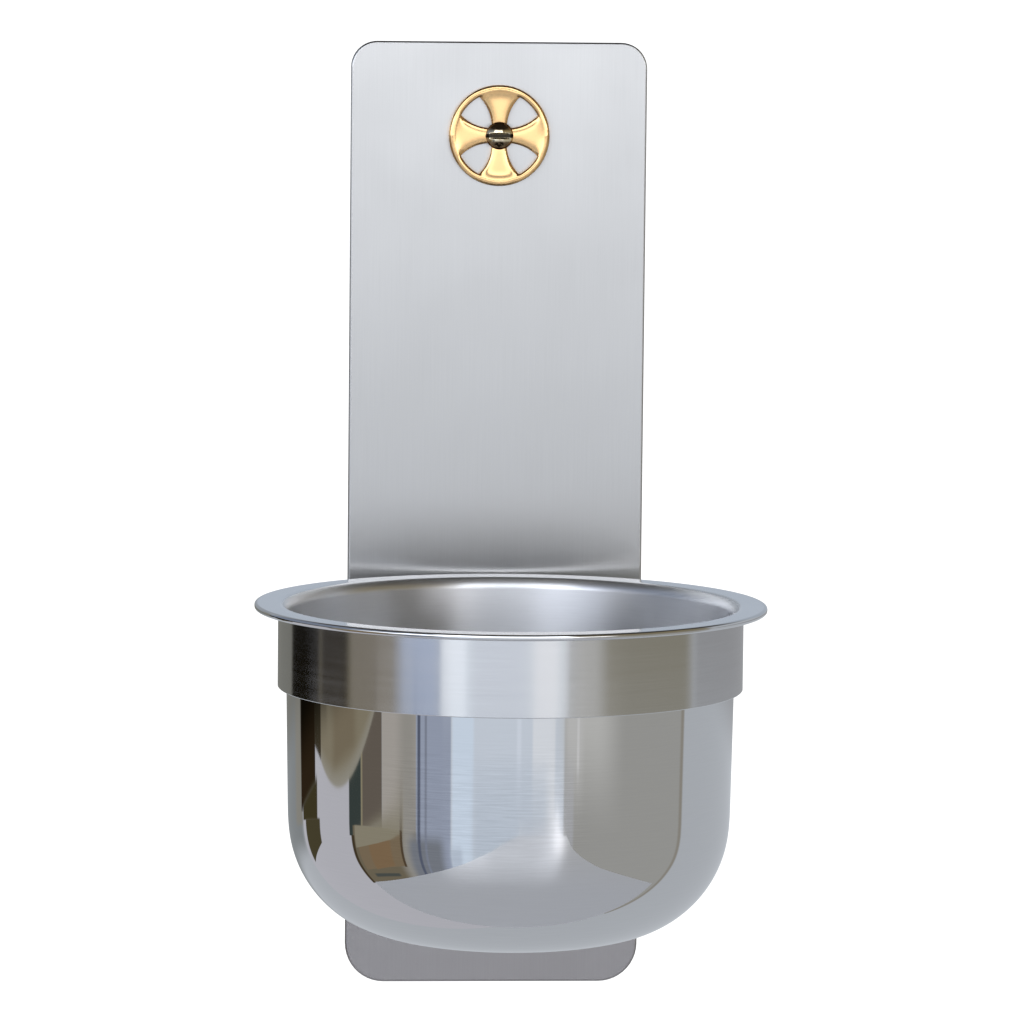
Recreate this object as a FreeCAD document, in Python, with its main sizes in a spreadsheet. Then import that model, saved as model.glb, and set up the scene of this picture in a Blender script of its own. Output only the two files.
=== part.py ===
"""Wall-hung holy water stoup.

A narrow steel back plate carries a pierced brass cross emblem at its top and, on a short
stand-off, a steel ring. A loose bowl with a wide, folded rim hangs in the ring and lifts
straight out for filling and cleaning.

Frame: the origin is the middle of the back plate's rear face, which lies on the wall.
+X is to the right as seen from the room, +Y goes into the wall, +Z is up. Millimetres.
"""
import FreeCAD, Part
import math
import os
import Sketcher

Vector = FreeCAD.Vector

# Driving dimensions: name, value, meaning. Lengths in millimetres, angles in degrees.
SIZES = [
    ("plate_width", 91.0, "back plate, side to side"),
    ("plate_height", 292.0, "back plate, top to bottom"),
    ("plate_thickness", 3.0, "back plate, wall side to room side"),
    ("plate_top_corner", 8.0, "radius of the two upper corners"),
    ("plate_bottom_corner", 12.0, "radius of the two lower corners"),
    ("plate_edge_round", 0.7, "rounding of the front and rear edges"),
    ("rim_drop", 163.8, "plate's top edge down to the bowl's rim"),
    ("rim_gap", 2.0, "plate's front face to the nearest point of the rim"),
    ("emblem_drop", 28.6, "plate's top edge down to the emblem's middle"),
    ("fixing_drop", 57.2, "bowl's rim down to the row of wall holes"),
    ("fixing_spacing", 50.0, "wall hole to wall hole"),
    ("fixing_radius", 2.6, "wall holes, for 5 mm screws"),
    ("bowl_wall_radius", 66.8, "outside of the bowl just under its rim"),
    ("bowl_depth", 101.6, "rim's top face down to the lowest point"),
    ("bowl_sheet", 0.9, "sheet that the bowl is pressed from"),
    ("bowl_taper", 1.0, "lean of the bowl's wall, narrowing downwards"),
    ("bowl_corner", 35.0, "outside radius between wall and bottom"),
    ("bowl_crown", 225.0, "outside radius of the bottom"),
    ("neck_radius", 1.2, "outside radius between wall and rim"),
    ("flange_width", 9.2, "bowl's wall out to the rim's outer edge"),
    ("bead_width", 2.2, "edge of the rim that is folded back under itself"),
    ("bead_height", 1.8, "thickness of the folded edge"),
    ("bead_round", 0.7, "rounding of the folded edge"),
    ("ring_height", 24.0, "ring, top to bottom"),
    ("ring_wall", 1.8, "thickness of the ring"),
    ("ring_bevel", 0.2, "small bevel on the ring's edges"),
    ("bowl_clearance", 0.4, "ring's bore to the bowl's wall"),
    ("neck_clearance", 0.2, "ring's inner bevel past the bowl's neck"),
    ("standoff_width", 14.0, "stand-off, side to side"),
    ("standoff_inset", 1.0, "ring's edge to the stand-off's rounded end"),
    ("seat_clearance", 0.03, "stand-off's hollow seat to the ring"),
    ("ring_screw_spacing", 10.0, "upper ring screw to lower ring screw"),
    ("ring_screw_shank", 2.0, "radius of the ring screws' thread"),
    ("ring_screw_head", 3.75, "radius of their countersunk heads"),
    ("ring_screw_slot", 1.0, "width of their slots"),
    ("ring_screw_slot_depth", 0.9, "depth of their slots"),
    ("ring_screw_recess", 0.15, "ring's bore out to their head faces"),
    ("countersink_lead", 0.3, "cut inside the bore that opens the countersinks"),
    ("countersink_clearance", 0.05, "head cones to their countersinks"),
    ("hole_clearance", 0.25, "screws to the plain holes they pass through"),
    ("thread_clearance", 0.03, "screws to the tapped holes they turn into"),
    ("screw_tip_recess", 0.2, "plate's rear face to the screw tips"),
    ("screw_tip_bevel", 0.5, "bevel on the screw tips"),
    ("emblem_radius", 15.5, "outside of the emblem's ring"),
    ("emblem_rim", 2.2, "width of the rounded ring round the cross"),
    ("emblem_rim_height", 2.8, "top of the rounded ring above the plate"),
    ("emblem_web", 2.2, "thickness of the cross"),
    ("emblem_waist", 3.3, "emblem's middle to the tip of each opening"),
    ("emblem_opening", 34.6, "angle that each opening spans at the ring"),
    ("emblem_sweep", 13.0, "radius of the curved sides of the arms"),
    ("emblem_corner", 0.3, "rounding in the corners of the openings"),
    ("emblem_edge", 0.3, "bevel along the front edges of the openings"),
    ("emblem_screw_shank", 2.0, "radius of the emblem screw's thread"),
    ("emblem_screw_head", 4.25, "radius of its round head"),
    ("emblem_screw_rise", 3.0, "height of its round head"),
    ("emblem_screw_side", 0.7, "upright edge under the dome"),
    ("emblem_screw_slot", 1.3, "width of its slot"),
    ("emblem_screw_slot_depth", 1.4, "depth of its slot"),
    ("slot_overrun", 0.5, "slot cut past the edge of a screw's head"),
]

# Places that several pieces share, as expressions of the driving dimensions.
PLATE_FRONT = "(-Sizes.plate_thickness)"
RIM_RADIUS = "(Sizes.bowl_wall_radius + Sizes.flange_width)"
RIM_LEVEL = "(Sizes.plate_height / 2 - Sizes.rim_drop)"
BOWL_AXIS = f"({PLATE_FRONT} - Sizes.rim_gap - {RIM_RADIUS})"
RING_BORE = "(Sizes.bowl_wall_radius + Sizes.bowl_clearance)"
RING_OUTSIDE = f"({RING_BORE} + Sizes.ring_wall)"
RING_MIDDLE = f"({RIM_LEVEL} - Sizes.bowl_sheet - Sizes.ring_height / 2)"
RING_SCREW_FACE = f"({BOWL_AXIS} + {RING_BORE} + Sizes.ring_screw_recess)"
EMBLEM_LEVEL = "(Sizes.plate_height / 2 - Sizes.emblem_drop)"
EMBLEM_SCREW_HOLE = "(Sizes.emblem_screw_shank + Sizes.hole_clearance)"

# The sketcher's numbers for the points of a curve and for a sketch's own axes.
START, END, CENTRE = range(1, 4)
LEVEL_AXIS, UPRIGHT_AXIS = range(-1, -3, -1)
ORIGIN = (LEVEL_AXIS, START)
LEFT, RIGHT = "left", "right"

doc = FreeCAD.newDocument("Stoup")
sheet = doc.addObject("Spreadsheet::Sheet", "Sizes")


def fill_sheet():
    for row, (alias, value, meaning) in enumerate(SIZES, start=1):
        sheet.set(f"A{row}", alias)
        sheet.set(f"B{row}", str(value))
        sheet.set(f"C{row}", meaning)
        sheet.setAlias(f"B{row}", alias)
    doc.recompute()


def number(expression):
    """The present value of an expression of the sheet's sizes."""
    return float(sheet.evalExpression(expression))


# Sketches ---------------------------------------------------------------------------------

class Drawing:
    """A sketch on one of a body's own planes, with every size bound to the sheet."""

    def __init__(self, body, name, plane, offset=None):
        self.sketch = body.newObject("Sketcher::SketchObject", name)
        support = next(f for f in body.Origin.OriginFeatures if f.Role == plane)
        self.sketch.AttachmentSupport = [(support, "")]
        self.sketch.MapMode = "FlatFace"
        if offset:
            self.sketch.setExpression("AttachmentOffset.Base.z", offset)

    def line(self, start, end):
        return self.sketch.addGeometry(Part.LineSegment(start, end), False)

    def arc(self, centre, start, end):
        """An arc that turns left from start to end."""
        first = math.atan2(start.y - centre.y, start.x - centre.x)
        last = math.atan2(end.y - centre.y, end.x - centre.x)
        circle = Part.Circle(centre, Vector(0, 0, 1), start.distanceToPoint(centre))
        if last < first:
            last += 2 * math.pi
        return self.sketch.addGeometry(Part.ArcOfCircle(circle, first, last), False)

    def constrain(self, kind, *references):
        return self.sketch.addConstraint(Sketcher.Constraint(kind, *references))

    def size(self, kind, *references, to):
        """A dimension whose value follows an expression."""
        index = self.constrain(kind, *references, number(to))
        self.sketch.setExpression(f"Constraints[{index}]", to)

    def place(self, geometry, end, x, y):
        """Fixes one point of the drawing from the origin."""
        self.size("DistanceX", *ORIGIN, geometry, end, to=x)
        self.size("DistanceY", *ORIGIN, geometry, end, to=y)

    def circle(self, x, y, radius):
        circle = Part.Circle(Vector(number(x), number(y), 0), Vector(0, 0, 1), number(radius))
        index = self.sketch.addGeometry(circle, False)
        self.place(index, CENTRE, x, y)
        self.size("Radius", index, to=radius)

    def outline(self, steps):
        """A closed outline through points, each (x, y) or (x, y, radius, turn).

        A step with a radius is reached by an arc that turns LEFT or RIGHT, the others by a
        straight line.
        """
        points = [Vector(number(step[0]), number(step[1]), 0) for step in steps]
        pieces = []
        for index, step in enumerate(steps):
            start, end = points[index - 1], points[index]
            if len(step) == 2:
                pieces.append((self.line(start, end), START, END))
                continue
            radius, turn = step[2:]
            middle = (start + end) / 2
            half = start.distanceToPoint(end) / 2
            side = Vector(start.y - end.y, end.x - start.x, 0).normalize()
            reach = math.sqrt(number(radius) ** 2 - half ** 2)
            centre = middle + side * (reach if turn == LEFT else -reach)
            if turn == LEFT:
                pieces.append((self.arc(centre, start, end), START, END))
            else:
                pieces.append((self.arc(centre, end, start), END, START))
            self.size("Radius", pieces[-1][0], to=radius)
        for index, (geometry, _, leaving) in enumerate(pieces):
            following, entering, _ = pieces[(index + 1) % len(pieces)]
            self.constrain("Coincident", geometry, leaving, following, entering)
            self.place(geometry, leaving, *steps[index][:2])

    def rectangle(self, half_width, half_height):
        self.outline([(half_width, half_height), (f"-({half_width})", half_height),
                      (f"-({half_width})", f"-({half_height})"), (half_width, f"-({half_height})")])


# Features ---------------------------------------------------------------------------------

def new_body(name, x="0", y="0", z="0", facing_room=False):
    """A body placed by expressions. One that faces the room has its own +Z along -Y."""
    body = doc.addObject("PartDesign::Body", name)
    body.Label = name
    if facing_room:
        body.Placement = FreeCAD.Placement(Vector(), FreeCAD.Rotation(Vector(1, 0, 0), 90))
    for axis, expression in zip("xyz", (x, y, z)):
        body.setExpression(f"Placement.Base.{axis}", expression)
    return body


def add(body, kind, name, drawing=None, **sizes):
    """A feature of a body, on a drawing, with its sizes bound to expressions."""
    feature = body.newObject(f"PartDesign::{kind}", name)
    if drawing:
        feature.Profile = drawing.sketch
    for prop, expression in sizes.items():
        feature.setExpression(prop, expression)
    return feature


def revolve(body, name, drawing, kind="Revolution"):
    feature = add(body, kind, name, drawing)
    feature.ReferenceAxis = (drawing.sketch, ["V_Axis"])
    return feature


def cut_through(body, name, drawing, towards_normal):
    """A pocket through everything on one side of its drawing."""
    before = volume_now(body)
    feature = add(body, "Pocket", name, drawing)
    feature.Type = "ThroughAll"
    feature.Reversed = towards_normal
    require_less(body, before, name)
    return feature


def volume_now(body):
    doc.recompute()
    return body.Shape.Volume


def require_less(body, before, name):
    if not volume_now(body) < before:
        raise RuntimeError(f"{name} cuts nothing")


def edges_where(feature, test):
    """Names of the edges of a feature's shape whose two end points pass a test."""
    doc.recompute()
    names = []
    for index, edge in enumerate(feature.Shape.Edges, start=1):
        ends = [vertex.Point for vertex in edge.Vertexes]
        if len(ends) == 2 and test(*ends):
            names.append(f"Edge{index}")
    return names


def dress(body, kind, name, base, edges, **sizes):
    feature = add(body, kind, name, **sizes)
    feature.Base = (base, edges)
    return feature


# Pieces -----------------------------------------------------------------------------------

def make_back_plate():
    """A flat plate with rounded corners, drilled and tapped for all that it carries."""
    body = new_body("back_plate")
    outline = Drawing(body, "plate_outline", "XZ_Plane")
    outline.rectangle("Sizes.plate_width / 2", "Sizes.plate_height / 2")
    slab = add(body, "Pad", "plate_slab", outline, Length="Sizes.plate_thickness")

    def upright_corner(top):
        return lambda a, b: a.distanceToPoint(Vector(b.x, a.y, b.z)) < 1e-6 and (a.z > 0) == top

    upper = dress(body, "Fillet", "upper_corners", slab, edges_where(slab, upright_corner(True)),
                  Radius="Sizes.plate_top_corner")
    lower = dress(body, "Fillet", "lower_corners", upper, edges_where(upper, upright_corner(False)),
                  Radius="Sizes.plate_bottom_corner")
    rims = edges_where(lower, lambda a, b: abs(a.y - b.y) < 1e-6)
    dress(body, "Fillet", "soft_edges", lower, rims, Radius="Sizes.plate_edge_round")

    holes = Drawing(body, "plate_holes", "XZ_Plane")
    tapped = "Sizes.ring_screw_shank + Sizes.thread_clearance"
    for side in ("+", "-"):
        holes.circle("0", f"{RING_MIDDLE} {side} Sizes.ring_screw_spacing / 2", tapped)
        holes.circle(f"{side}Sizes.fixing_spacing / 2", f"{RIM_LEVEL} - Sizes.fixing_drop",
                     "Sizes.fixing_radius")
    holes.circle("0", EMBLEM_LEVEL, "Sizes.emblem_screw_shank + Sizes.thread_clearance")
    cut_through(body, "drilled_holes", holes, towards_normal=True)
    return body


def make_standoff():
    """An oblong boss between plate and ring, hollowed at the front to the ring's curve."""
    body = new_body("ring_standoff", y=BOWL_AXIS, z=RING_MIDDLE)
    outline = Drawing(body, "boss_outline", "XZ_Plane", offset=f"-{RING_BORE}")
    radius = "Sizes.standoff_width / 2"
    reach = f"Sizes.ring_height / 2 - Sizes.standoff_inset - {radius}"
    side, top = number(radius), number(reach)
    left = outline.line(Vector(-side, top), Vector(-side, -top))
    right = outline.line(Vector(side, -top), Vector(side, top))
    upper = outline.arc(Vector(0, top), Vector(side, top), Vector(-side, top))
    lower = outline.arc(Vector(0, -top), Vector(-side, -top), Vector(side, -top))
    for line, first, last in ((left, upper, lower), (right, lower, upper)):
        outline.constrain("Tangent", first, END, line, START)
        outline.constrain("Tangent", line, END, last, START)
    outline.place(upper, CENTRE, "0", reach)
    outline.place(lower, CENTRE, "0", f"-({reach})")
    outline.size("Radius", upper, to=radius)
    outline.constrain("Equal", upper, lower)
    for sign in ("+", "-"):
        outline.circle("0", f"{sign}Sizes.ring_screw_spacing / 2",
                       "Sizes.ring_screw_shank + Sizes.hole_clearance")
    boss = add(body, "Pad", "boss", outline, Length=f"Sizes.rim_gap + {RIM_RADIUS} - {RING_BORE}")
    boss.Reversed = True

    before = volume_now(body)
    seat = Drawing(body, "seat_section", "XZ_Plane")
    seat_radius = f"{RING_OUTSIDE} + Sizes.seat_clearance"
    seat.outline([("0", "-Sizes.ring_height"), (seat_radius, "-Sizes.ring_height"),
                  (seat_radius, "Sizes.ring_height"), ("0", "Sizes.ring_height")])
    revolve(body, "hollow_seat", seat, kind="Groove")
    require_less(body, before, "hollow_seat")
    return body


def make_ring():
    """A rolled steel band. Its inner upper edge is bevelled to clear the bowl's neck."""
    body = new_body("bowl_ring", y=BOWL_AXIS, z=RING_MIDDLE)
    neck_bevel = "(Sizes.neck_radius + Sizes.neck_clearance - Sizes.bowl_clearance)"
    half, small = "Sizes.ring_height / 2", "Sizes.ring_bevel"
    section = Drawing(body, "ring_section", "XZ_Plane")
    section.outline([
        (f"{RING_BORE} + {neck_bevel}", half),
        (f"{RING_OUTSIDE} - {small}", half),
        (RING_OUTSIDE, f"{half} - {small}"),
        (RING_OUTSIDE, f"-{half} + {small}"),
        (f"{RING_OUTSIDE} - {small}", f"-{half}"),
        (f"{RING_BORE} + {small}", f"-{half}"),
        (RING_BORE, f"-{half} + {small}"),
        (RING_BORE, f"{half} - {neck_bevel}"),
    ])
    revolve(body, "band", section)

    before = volume_now(body)
    start = f"({RING_BORE} - Sizes.countersink_lead)"
    centres = Drawing(body, "screw_centres", "XZ_Plane", offset=f"-{start}")
    for sign in ("+", "-"):
        centres.circle("0", f"{sign}Sizes.ring_screw_spacing / 2", "Sizes.ring_screw_shank")
    doc.recompute()
    holes = add(body, "Hole", "countersunk_holes", centres)
    holes.DepthType = "ThroughAll"
    holes.HoleCutType = "Countersink"
    holes.HoleCutCountersinkAngle = 90
    holes.setExpression("Diameter", "2 * (Sizes.ring_screw_shank + Sizes.hole_clearance)")
    holes.setExpression("HoleCutDiameter", "2 * (Sizes.ring_screw_head + Sizes.countersink_lead"
                        " + Sizes.ring_screw_recess + Sizes.countersink_clearance)")
    require_less(body, before, "countersunk_holes")
    return body


def cut_slot(body, face_level, width, depth, head):
    """A straight slot across a screw's head."""
    before = volume_now(body)
    drawing = Drawing(body, "slot_outline", "XY_Plane", offset=face_level)
    drawing.rectangle(f"{head} + Sizes.slot_overrun", f"{width} / 2")
    add(body, "Pocket", "slot", drawing, Length=depth)
    require_less(body, before, "slot")


def make_ring_screw(name, sign):
    """A slotted countersunk screw, from inside the ring through the stand-off into the plate."""
    body = new_body(name, y=RING_SCREW_FACE, z=f"{RING_MIDDLE} {sign} Sizes.ring_screw_spacing / 2",
                    facing_room=True)
    shank, head, bevel = "Sizes.ring_screw_shank", "Sizes.ring_screw_head", "Sizes.screw_tip_bevel"
    tip = f"({RING_SCREW_FACE} + Sizes.screw_tip_recess)"
    section = Drawing(body, "screw_section", "XZ_Plane")
    section.outline([("0", "0"), (head, "0"), (shank, f"-({head} - {shank})"),
                     (shank, f"{tip} + {bevel}"), (f"{shank} - {bevel}", tip), ("0", tip)])
    revolve(body, "turned", section)
    cut_slot(body, "0", "Sizes.ring_screw_slot", "Sizes.ring_screw_slot_depth", head)
    return body


def make_bowl():
    """A pressed bowl: wide flat rim with a folded edge, leaning wall, round corner, low crown.

    Its own origin is the middle of the rim's top face. The inside follows the outside at
    the sheet's thickness, so each inner arc shares the centre of its outer one.
    """
    body = new_body("bowl", y=BOWL_AXIS, z=RIM_LEVEL)
    drawing = Drawing(body, "bowl_section", "XZ_Plane")
    metal = number("Sizes.bowl_sheet")
    neck, corner, crown = (number(f"Sizes.{name}") for name in
                           ("neck_radius", "bowl_corner", "bowl_crown"))
    lean = math.radians(number("Sizes.bowl_taper"))
    outward = Vector(math.cos(lean), -math.sin(lean))
    upward = Vector(math.sin(lean), math.cos(lean))

    # Centres of the three round stretches, each touching the next.
    neck_centre = Vector(number("Sizes.bowl_wall_radius") + neck, -metal - neck)
    crown_centre = Vector(0, crown - number("Sizes.bowl_depth"))
    across = outward.dot(neck_centre) - neck - corner
    reach = math.sqrt((crown - corner) ** 2 - (across - outward.dot(crown_centre)) ** 2)
    corner_centre = outward * across + upward * (upward.dot(crown_centre) - reach)
    downward = (corner_centre - crown_centre).normalize()

    # The rim, from the inner shoulder out round the folded edge and back to the neck.
    rim, bead, fold = number(RIM_RADIUS), number("Sizes.bead_width"), number("Sizes.bead_round")
    under = -number("Sizes.bead_height")
    shoulder_top = Vector(neck_centre.x, 0)
    edge = [Vector(rim - fold, 0), Vector(rim, -fold), Vector(rim, under + fold),
            Vector(rim - fold, under), Vector(rim - bead, under), Vector(rim - bead, -metal)]
    neck_top = Vector(neck_centre.x, -metal)
    top = drawing.line(shoulder_top, edge[0])
    upper_round = drawing.arc(Vector(rim - fold, -fold), edge[1], edge[0])
    side = drawing.line(edge[1], edge[2])
    lower_round = drawing.arc(Vector(rim - fold, under + fold), edge[3], edge[2])
    hem = drawing.line(edge[3], edge[4])
    step = drawing.line(edge[4], edge[5])
    flange = drawing.line(edge[5], neck_top)

    # Neck, wall, corner and crown: the outside first, then the inside.
    def skin(inset):
        """Wall and bottom at a distance inside the outer face, from the neck to the axis."""
        outer_neck = neck + inset
        wall_top = neck_centre - outward * outer_neck
        wall_foot = corner_centre + outward * (corner - inset)
        crown_start = crown_centre + downward * (crown - inset)
        lowest = Vector(0, crown_centre.y - crown + inset)
        return (drawing.arc(neck_centre, neck_centre + Vector(0, outer_neck), wall_top),
                drawing.line(wall_top, wall_foot),
                drawing.arc(corner_centre, crown_start, wall_foot),
                drawing.arc(crown_centre, lowest, crown_start))

    outside = skin(0)
    inside = skin(metal)
    lowest = Vector(0, crown_centre.y - crown)
    seam = drawing.line(lowest, lowest + Vector(0, metal))

    for neck_arc, wall, corner_arc, crown_arc in (outside, inside):
        drawing.constrain("Tangent", neck_arc, END, wall, START)
        drawing.constrain("Tangent", wall, END, corner_arc, END)
        drawing.constrain("Tangent", corner_arc, START, crown_arc, END)
    for outer_arc, inner_arc in ((outside[0], inside[0]), (outside[2], inside[2]),
                                 (outside[3], inside[3])):
        drawing.constrain("Coincident", outer_arc, CENTRE, inner_arc, CENTRE)
    drawing.constrain("Tangent", inside[0], START, top, START)
    drawing.constrain("Tangent", top, END, upper_round, END)
    drawing.constrain("Tangent", upper_round, START, side, START)
    drawing.constrain("Tangent", side, END, lower_round, END)
    drawing.constrain("Tangent", lower_round, START, hem, START)
    drawing.constrain("Coincident", hem, END, step, START)
    drawing.constrain("Coincident", step, END, flange, START)
    drawing.constrain("Tangent", flange, END, outside[0], START)
    drawing.constrain("Coincident", outside[3], START, seam, START)
    drawing.constrain("Coincident", inside[3], START, seam, END)
    drawing.constrain("Horizontal", top)
    drawing.constrain("Vertical", side)
    drawing.constrain("Horizontal", hem)
    drawing.constrain("Vertical", step)
    drawing.constrain("Equal", upper_round, lower_round)
    drawing.constrain("PointOnObject", outside[3], CENTRE, UPRIGHT_AXIS)
    drawing.constrain("PointOnObject", seam, START, UPRIGHT_AXIS)
    drawing.constrain("PointOnObject", seam, END, UPRIGHT_AXIS)
    drawing.place(outside[0], CENTRE, "Sizes.bowl_wall_radius + Sizes.neck_radius",
                  "-(Sizes.bowl_sheet + Sizes.neck_radius)")
    drawing.size("Radius", outside[0], to="Sizes.neck_radius")
    drawing.size("Radius", inside[0], to="Sizes.neck_radius + Sizes.bowl_sheet")
    drawing.size("Radius", outside[2], to="Sizes.bowl_corner")
    drawing.size("Radius", inside[2], to="Sizes.bowl_corner - Sizes.bowl_sheet")
    drawing.size("Radius", outside[3], to="Sizes.bowl_crown")
    drawing.size("Radius", upper_round, to="Sizes.bead_round")
    drawing.size("Angle", outside[1], to="-90 - Sizes.bowl_taper")
    drawing.size("DistanceY", *ORIGIN, seam, START, to="-Sizes.bowl_depth")
    drawing.size("DistanceX", *ORIGIN, side, START, to=RIM_RADIUS)
    drawing.place(step, START, f"{RIM_RADIUS} - Sizes.bead_width", "-Sizes.bead_height")
    drawing.size("DistanceY", *ORIGIN, step, END, to="-Sizes.bowl_sheet")
    revolve(body, "pressed_bowl", drawing)
    return body


def make_emblem():
    """A brass disc, pierced four times so that a flared cross stays inside a rounded ring."""
    body = new_body("emblem", y=PLATE_FRONT, z=EMBLEM_LEVEL, facing_room=True)
    half_rim = "Sizes.emblem_rim / 2"
    rim_middle = f"(Sizes.emblem_radius - {half_rim})"
    disc_outline = Drawing(body, "disc_outline", "XY_Plane")
    disc_outline.circle("0", "0", rim_middle)
    disc_outline.circle("0", "0", EMBLEM_SCREW_HOLE)
    add(body, "Pad", "disc", disc_outline, Length="Sizes.emblem_web")

    # One opening, on the first diagonal: a tip near the hub and an arc along the ring.
    inside = "(Sizes.emblem_radius - Sizes.emblem_rim)"
    near, far = "(45 - Sizes.emblem_opening / 2)", "(45 + Sizes.emblem_opening / 2)"
    tip = "Sizes.emblem_waist * cos(45)"
    outline = Drawing(body, "opening_outline", "XY_Plane")
    outline.outline([
        (tip, tip, "Sizes.emblem_sweep", LEFT),
        (f"{inside} * cos({near})", f"{inside} * sin({near})", "Sizes.emblem_sweep", LEFT),
        (f"{inside} * cos({far})", f"{inside} * sin({far})", inside, LEFT),
    ])
    opening = cut_through(body, "opening", outline, towards_normal=True)
    before = volume_now(body)
    openings = body.newObject("PartDesign::PolarPattern", "four_openings")
    openings.Originals = [opening]
    openings.Axis = (outline.sketch, ["N_Axis"])
    openings.Angle = 360
    openings.Occurrences = 4
    body.Tip = openings
    require_less(body, before, "four_openings")

    def upright(a, b):
        return math.hypot(a.x - b.x, a.y - b.y) < 1e-6

    web = number("Sizes.emblem_web")
    corners = dress(body, "Fillet", "opening_corners", openings, edges_where(openings, upright),
                    Radius="Sizes.emblem_corner")
    dress(body, "Chamfer", "opening_edges", corners,
          edges_where(corners, lambda a, b: abs(a.z - web) + abs(b.z - web) < 1e-6),
          Size="Sizes.emblem_edge")

    # The rounded ring, turned on last: upright outside, half round on top.
    shoulder = f"(Sizes.emblem_rim_height - {half_rim})"
    section = Drawing(body, "rim_section", "XZ_Plane")
    section.outline([
        (inside, "0"),
        (inside, shoulder),
        (rim_middle, "Sizes.emblem_rim_height", half_rim, RIGHT),
        ("Sizes.emblem_radius", shoulder, half_rim, RIGHT),
        ("Sizes.emblem_radius", "0"),
    ])
    revolve(body, "rounded_ring", section)
    return body


def make_emblem_screw():
    """A slotted round-head screw through the emblem into the plate."""
    body = new_body("emblem_screw", y=f"{PLATE_FRONT} - Sizes.emblem_web", z=EMBLEM_LEVEL,
                    facing_room=True)
    shank, head, bevel = "Sizes.emblem_screw_shank", "Sizes.emblem_screw_head", "Sizes.screw_tip_bevel"
    dome = "(Sizes.emblem_screw_rise - Sizes.emblem_screw_side)"
    tip = "-(Sizes.emblem_web + Sizes.plate_thickness - Sizes.screw_tip_recess)"
    section = Drawing(body, "screw_section", "XZ_Plane")
    section.outline([
        ("0", "Sizes.emblem_screw_rise"),
        (head, "Sizes.emblem_screw_side", f"({head} ^ 2 + {dome} ^ 2) / (2 * {dome})", RIGHT),
        (head, "0"), (shank, "0"), (shank, f"{tip} + {bevel}"), (f"{shank} - {bevel}", tip), ("0", tip),
    ])
    revolve(body, "turned", section)
    cut_slot(body, "Sizes.emblem_screw_rise", "Sizes.emblem_screw_slot",
             "Sizes.emblem_screw_slot_depth", head)
    return body


# Finish -----------------------------------------------------------------------------------

def check(bodies):
    """Stops on any failed feature, loose sketch or broken solid."""
    doc.recompute()
    for item in doc.Objects:
        if "Invalid" in item.State or "Error" in item.State:
            raise RuntimeError(f"{item.Name} failed: {item.State}")
        if item.TypeId == "Sketcher::SketchObject" and not item.FullyConstrained:
            raise RuntimeError(f"{item.Name} is not fully constrained")
    for body in bodies:
        if body.Shape.isNull() or not body.Shape.isValid() or len(body.Shape.Solids) != 1:
            raise RuntimeError(f"{body.Label} is not one valid solid")


def main():
    fill_sheet()
    bodies = [
        make_back_plate(),
        make_standoff(),
        make_ring(),
        make_ring_screw("ring_screw_upper", "+"),
        make_ring_screw("ring_screw_lower", "-"),
        make_bowl(),
        make_emblem(),
        make_emblem_screw(),
    ]
    check(bodies)
    os.makedirs("parts", exist_ok=True)
    for body in bodies:
        body.Shape.exportStep(f"parts/{body.Label}.step")
        print(f"{body.Label}: {body.Shape.Volume:.1f} mm3")


main()
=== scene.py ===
"""Finish and studio for the wall-hung holy water stoup.

Laid out as an add-on and run as a script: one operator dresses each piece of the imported
model, one builds the studio, and main() calls them in turn. All lengths are in metres.
The origin is the middle of the back plate's rear face, +Y goes into the wall, +Z is up.
"""
import math

import bmesh
import bpy
from bpy.props import FloatProperty, FloatVectorProperty, PointerProperty
from bpy.types import Operator, Panel, PropertyGroup
from mathutils import Matrix, Vector


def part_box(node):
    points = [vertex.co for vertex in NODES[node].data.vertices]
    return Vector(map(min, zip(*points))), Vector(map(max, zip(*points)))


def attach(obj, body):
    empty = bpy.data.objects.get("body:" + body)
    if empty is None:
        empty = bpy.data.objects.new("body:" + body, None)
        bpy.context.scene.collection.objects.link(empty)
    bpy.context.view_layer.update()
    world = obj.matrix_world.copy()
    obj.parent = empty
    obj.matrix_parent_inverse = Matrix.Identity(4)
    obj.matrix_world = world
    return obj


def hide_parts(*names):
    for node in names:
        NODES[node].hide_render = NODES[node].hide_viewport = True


bl_info = {
    "name": "Holy Water Stoup",
    "version": (1, 0, 0),
    "blender": (4, 5, 0),
    "location": "View3D > Sidebar > Stoup",
    "description": "Dresses the stoup's pieces and builds its studio",
    "category": "Object",
}

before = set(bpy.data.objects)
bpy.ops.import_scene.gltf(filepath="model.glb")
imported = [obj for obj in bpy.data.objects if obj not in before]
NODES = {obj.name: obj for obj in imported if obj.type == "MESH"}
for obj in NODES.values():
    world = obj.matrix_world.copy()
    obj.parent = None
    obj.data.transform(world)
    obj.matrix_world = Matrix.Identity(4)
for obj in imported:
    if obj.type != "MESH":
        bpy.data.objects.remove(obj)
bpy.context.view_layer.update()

RIM_LOW, RIM_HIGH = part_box("bowl")
BOWL_AXIS_Y = (RIM_LOW.y + RIM_HIGH.y) / 2
RIM_LEVEL = RIM_HIGH.z
EMBLEM_LOW, EMBLEM_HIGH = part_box("emblem")
EMBLEM_LEVEL = (EMBLEM_LOW.z + EMBLEM_HIGH.z) / 2

# The emblem's casting: size of its mesh's cells, how many rounds of smoothing flow its front
# together, and how far in front of the plate the flow begins.
CASTING_CELL, CASTING_FLOW, CASTING_BACK = 0.0002, 110, 0.0004

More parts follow.
